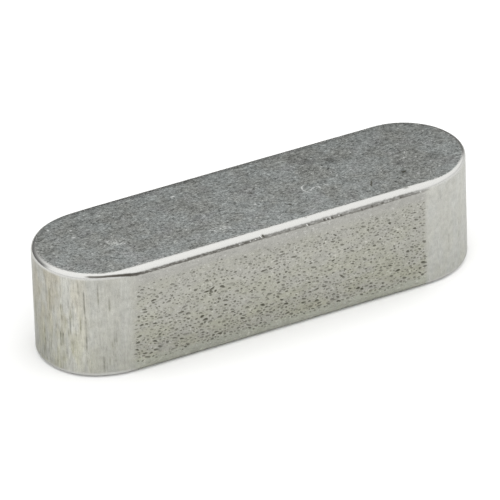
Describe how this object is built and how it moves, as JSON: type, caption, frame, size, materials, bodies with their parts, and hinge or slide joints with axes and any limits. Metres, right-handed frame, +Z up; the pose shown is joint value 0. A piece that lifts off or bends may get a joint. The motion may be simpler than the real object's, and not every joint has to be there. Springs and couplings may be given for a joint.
{
  "type": "parallel key",
  "caption": "Rectangular drawn steel bar with half-round ends and broken edges, which locks a hub to a shaft by filling the keyways of both.",
  "frame": {"origin": "middle of the bottom seat", "axes": "+X along the key's length, +Y across its width from flank to flank, +Z up from the bottom seat to the top face"},
  "size_m": [0.028, 0.008, 0.007],
  "materials": {
    "drawn_steel": "bright drawn steel: finely scuffed broad faces, flanks pitted by the drawing, satin milled round ends with fine streaks along the height, softened edges"
  },
  "bodies": {
    "root": {"parallel_key": "drawn_steel"}
  },
  "joints": []
}
